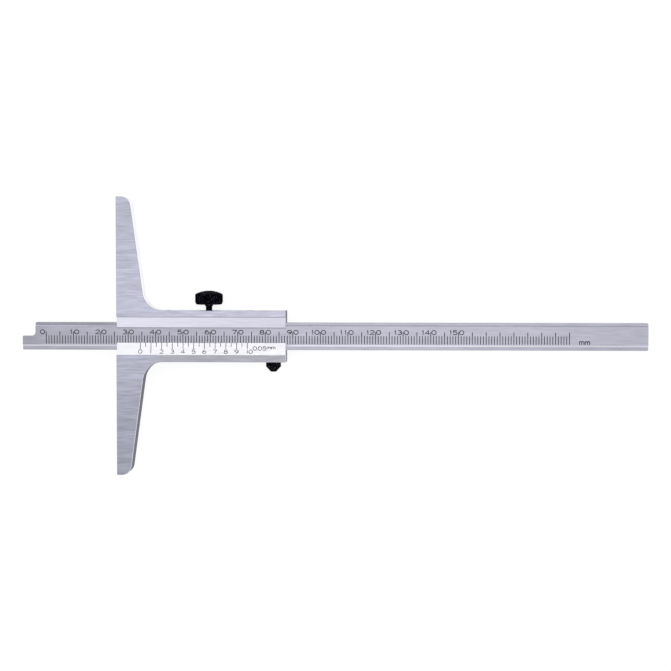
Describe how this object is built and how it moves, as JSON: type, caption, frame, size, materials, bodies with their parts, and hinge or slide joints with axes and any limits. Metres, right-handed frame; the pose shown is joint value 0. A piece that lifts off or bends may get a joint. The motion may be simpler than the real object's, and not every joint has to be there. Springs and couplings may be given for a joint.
{
  "type": "vernier depth gauge",
  "caption": "Vernier depth gauge: a T-shaped base with a slotted slider, a sliding graduated beam with a narrow nose, a knurled lock screw and a tapered stop screw.",
  "frame": {"origin": "on the measuring face, at the middle of the beam's width, level with the back of the base", "axes": "+X along the beam from the measuring face to the plain end, +Y along the measuring face to the lock screw's side, +Z out of the scale face"},
  "size_m": [0.227, 0.1014, 0.0102],
  "materials": {
    "body_steel": "fine ground, brushed along the beam",
    "beam_steel": "fine ground along its length, lines filled dark",
    "strip_steel": "satin, bright",
    "pin_steel": "turned",
    "bronze": "rolled strip",
    "brass": "turned",
    "black_oxide": "blackened steel, satin",
    "knob_black": "black moulding with a diamond knurl"
  },
  "bodies": {
    "slider": {"slider_body": "body_steel", "vernier_strip": "strip_steel", "cover_strip": "strip_steel", "strip_pins": "pin_steel", "leaf_spring": "bronze", "tension_screws": "pin_steel"},
    "beam": {"beam": "beam_steel"},
    "lock_pad": {"lock_pad": "brass"},
    "lock_screw": {"lock_stud": "black_oxide", "lock_knob": "knob_black"},
    "stop_screw": {"stop_screw": "black_oxide"}
  },
  "joints": [
    {"name": "beam_slide", "type": "slide", "parent": "slider", "child": "beam", "axis": [-1, 0, 0], "range_m": [-0.0345, 0.1155]},
    {"name": "lock_feed", "type": "slide", "parent": "slider", "child": "lock_pad", "axis": [0, -1, 0], "range_m": [-0.00045, 0.000225]},
    {"name": "lock_turn", "type": "hinge", "parent": "lock_pad", "child": "lock_screw", "pos_m": [0.0335, 0.0068, 0.00515], "axis": [0, -1, 0], "range_deg": [-360.1, 180.1]},
    {"name": "stop_turn", "type": "hinge", "parent": "slider", "child": "stop_screw", "pos_m": [0.057, -0.0094, 0.0051], "axis": [0, 1, 0], "range_deg": [-360, 0]}
  ],
  "couplings": [
    {"joint": "lock_turn", "follows": "lock_feed", "rad_per_m": 13963}
  ]
}
